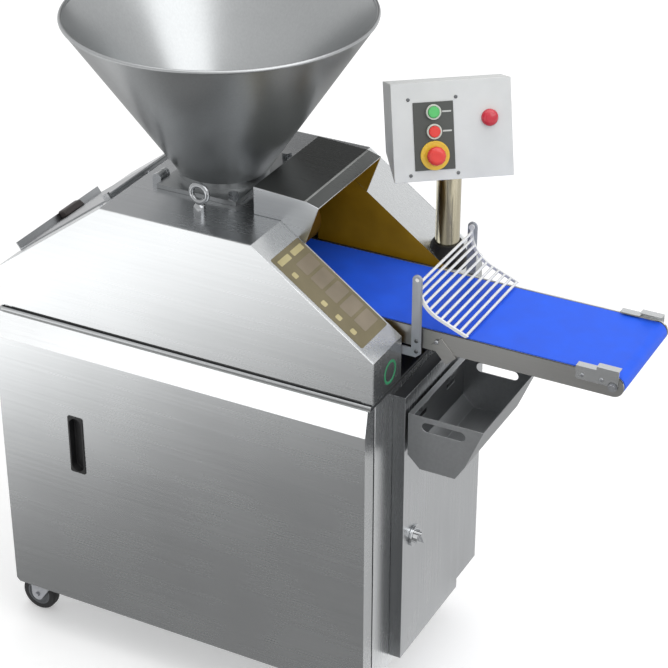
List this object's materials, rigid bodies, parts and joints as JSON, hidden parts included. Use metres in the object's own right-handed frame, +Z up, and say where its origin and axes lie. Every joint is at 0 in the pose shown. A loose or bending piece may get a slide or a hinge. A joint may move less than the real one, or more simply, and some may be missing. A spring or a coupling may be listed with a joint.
{
  "type": "dough divider",
  "caption": "Floor-standing piston dough divider: steel body on castors, cone hopper, outlet conveyor with hand guard, scrap tray and swivelling control box.",
  "frame": {"origin": "on the floor, in the middle plane of the housing and halfway between the left castor wheel and the tail of the belt", "axes": "+X along the outlet belt, +Y to the back, +Z up"},
  "size_m": [1.3469, 0.6278, 1.435],
  "materials": {
    "satin_steel": "satin brushed stainless sheet",
    "bright_chrome": "polished",
    "cast_aluminium": "machined",
    "cast_grey_iron": "painted casting",
    "motor_paint": "painted",
    "grey_paint": "light grey satin paint",
    "dark_plastic": "matt",
    "black_plastic": "matt",
    "black_rubber": "matt",
    "belt_blue": "smooth conveyor belt",
    "yellow_plastic": "gloss",
    "red_plastic": "gloss",
    "red_lens": "clear tinted gloss",
    "green_plastic": "gloss",
    "white_plastic": "food-grade plastic"
  },
  "bodies": {
    "body": {"floor_pan": "satin_steel", "corner_posts": "satin_steel", "deck_plate": "satin_steel", "left_panel": "satin_steel", "back_panel": "satin_steel", "right_panel": "satin_steel", "door_hinges": "satin_steel", "castor_plates": "satin_steel", "housing_front": "satin_steel", "housing_back": "satin_steel", "housing_left": "satin_steel", "housing_top": "satin_steel", "near_cheek": "satin_steel", "far_cheek": "satin_steel", "outlet_hood": "satin_steel", "control_post": "satin_steel", "post_boot": "black_rubber", "conveyor_frame": "satin_steel", "belt_clips": "satin_steel", "conveyor_belt": "belt_blue", "guard_posts": "satin_steel", "lifting_eye": "bright_chrome", "chamber_block": "cast_aluminium", "gear_case": "cast_grey_iron", "rocker_bearing": "cast_grey_iron", "drive_motor": "motor_paint", "electrical_box": "dark_plastic"},
    "front_door": {"front_door": "satin_steel", "pull_cup": "black_plastic"},
    "side_door": {"side_door": "satin_steel", "tray_hooks": "satin_steel"},
    "latch": {"latch_knob": "bright_chrome"},
    "tray": {"scrap_tray": "satin_steel"},
    "hopper": {"hopper": "satin_steel", "hopper_clamps": "satin_steel"},
    "control_head": {"control_box": "grey_paint", "control_cover": "grey_paint", "button_plate": "dark_plastic", "estop_collar": "yellow_plastic", "indicator_lamp": "red_lens"},
    "start_button": {"green_button": "green_plastic"},
    "stop_button": {"red_button": "red_plastic"},
    "emergency_stop": {"estop_button": "red_plastic"},
    "guard": {"guard_grid": "satin_steel"},
    "hatch": {"left_hatch": "satin_steel", "hatch_handle": "black_plastic"},
    "ram": {"ram": "satin_steel"},
    "rocker": {"rocker_lever": "satin_steel"},
    "drum": {"measuring_drum": "satin_steel"},
    "piston": {"drum_piston": "white_plastic"},
    "belt_drive_roller": {"drive_roller": "satin_steel"},
    "belt_tail_roller": {"tail_roller": "satin_steel"},
    "fork_fl": {"castor_fork_fl": "satin_steel"},
    "wheel_fl": {"castor_wheel_fl": "black_rubber"},
    "fork_fr": {"castor_fork_fr": "satin_steel"},
    "wheel_fr": {"castor_wheel_fr": "black_rubber"},
    "fork_bl": {"castor_fork_bl": "satin_steel"},
    "wheel_bl": {"castor_wheel_bl": "black_rubber"},
    "fork_br": {"castor_fork_br": "satin_steel"},
    "wheel_br": {"castor_wheel_br": "black_rubber"}
  },
  "joints": [
    {"name": "front_door_hinge", "type": "hinge", "parent": "body", "child": "front_door", "pos_m": [0.2065, -0.24, 0.115], "axis": [0, 0, 1], "range_deg": [0, 105]},
    {"name": "side_door_hinge", "type": "hinge", "parent": "body", "child": "side_door", "pos_m": [0.2285, 0.2375, 0.14], "axis": [0, 0, 1], "range_deg": [0, 100]},
    {"name": "latch_turn", "type": "hinge", "parent": "side_door", "child": "latch", "pos_m": [0.2455, -0.095, 0.423], "axis": [1, 0, 0], "range_deg": [0, 90]},
    {"name": "tray_lift", "type": "slide", "parent": "side_door", "child": "tray", "axis": [0, 0, 1], "range_m": [0, 0.02]},
    {"name": "hopper_tilt", "type": "hinge", "parent": "body", "child": "hopper", "pos_m": [-0.3295, 0, 1.099], "axis": [0, -1, 0], "range_deg": [0, 35]},
    {"name": "control_head_swivel", "type": "hinge", "parent": "body", "child": "control_head", "pos_m": [0.1815, 0.172, 1.101], "axis": [0, 0, 1], "range_deg": [-40, 30]},
    {"name": "start_button_press", "type": "slide", "parent": "control_head", "child": "start_button", "axis": [-0.5707, 0.7574, -0.3173], "range_m": [0, 0.004], "stiffness_N_per_m": 700, "springref_m": -0.001},
    {"name": "stop_button_press", "type": "slide", "parent": "control_head", "child": "stop_button", "axis": [-0.5707, 0.7574, -0.3173], "range_m": [0, 0.004], "stiffness_N_per_m": 700, "springref_m": -0.001},
    {"name": "emergency_stop_press", "type": "slide", "parent": "control_head", "child": "emergency_stop", "axis": [-0.5707, 0.7574, -0.3173], "range_m": [0, 0.005], "stiffness_N_per_m": 900, "springref_m": -0.001},
    {"name": "guard_swing", "type": "hinge", "parent": "body", "child": "guard", "pos_m": [0.2565, 0, 1.028], "axis": [0, -1, 0], "range_deg": [0, 80]},
    {"name": "hatch_hinge", "type": "hinge", "parent": "body", "child": "hatch", "pos_m": [-0.3952, 0, 1.07908], "axis": [0, 1, 0], "range_deg": [0, 45]},
    {"name": "rocker_swing", "type": "hinge", "parent": "body", "child": "rocker", "pos_m": [-0.3525, 0, 0.70421], "axis": [0, 1, 0], "range_deg": [0, 20.21]},
    {"name": "ram_stroke", "type": "slide", "parent": "body", "child": "ram", "axis": [1, 0, 0], "range_m": [0, 0.1002]},
    {"name": "drum_turn", "type": "hinge", "parent": "body", "child": "drum", "pos_m": [-0.1185, 0, 0.987], "axis": [0, -1, 0], "range_deg": [0, 90]},
    {"name": "piston_eject", "type": "slide", "parent": "drum", "child": "piston", "axis": [-1, 0, 0], "range_m": [0, 0.029]},
    {"name": "drive_roller_spin", "type": "hinge", "parent": "body", "child": "belt_drive_roller", "pos_m": [-0.1635, 0, 0.902], "axis": [0, 1, 0], "continuous": true},
    {"name": "tail_roller_spin", "type": "hinge", "parent": "body", "child": "belt_tail_roller", "pos_m": [0.6525, 0, 0.902], "axis": [0, 1, 0], "continuous": true},
    {"name": "fork_fl_swivel", "type": "hinge", "parent": "body", "child": "fork_fl", "pos_m": [-0.5955, -0.192, 0.13], "axis": [0, 0, 1], "continuous": true},
    {"name": "wheel_fl_spin", "type": "hinge", "parent": "fork_fl", "child": "wheel_fl", "pos_m": [-0.6315, -0.192, 0.042], "axis": [0, 1, 0], "continuous": true},
    {"name": "fork_fr_swivel", "type": "hinge", "parent": "body", "child": "fork_fr", "pos_m": [0.1225, -0.192, 0.13], "axis": [0, 0, 1], "continuous": true},
    {"name": "wheel_fr_spin", "type": "hinge", "parent": "fork_fr", "child": "wheel_fr", "pos_m": [0.0865, -0.192, 0.042], "axis": [0, 1, 0], "continuous": true},
    {"name": "fork_bl_swivel", "type": "hinge", "parent": "body", "child": "fork_bl", "pos_m": [-0.5955, 0.216, 0.13], "axis": [0, 0, 1], "continuous": true},
    {"name": "wheel_bl_spin", "type": "hinge", "parent": "fork_bl", "child": "wheel_bl", "pos_m": [-0.6315, 0.216, 0.042], "axis": [0, 1, 0], "continuous": true},
    {"name": "fork_br_swivel", "type": "hinge", "parent": "body", "child": "fork_br", "pos_m": [0.1225, 0.216, 0.13], "axis": [0, 0, 1], "continuous": true},
    {"name": "wheel_br_spin", "type": "hinge", "parent": "fork_br", "child": "wheel_br", "pos_m": [0.0865, 0.216, 0.042], "axis": [0, 1, 0], "continuous": true}
  ],
  "couplings": [
    {"joint": "ram_stroke", "follows": "rocker_swing", "m_per_rad": 0.28353},
    {"joint": "tail_roller_spin", "follows": "drive_roller_spin", "ratio": 1}
  ]
}
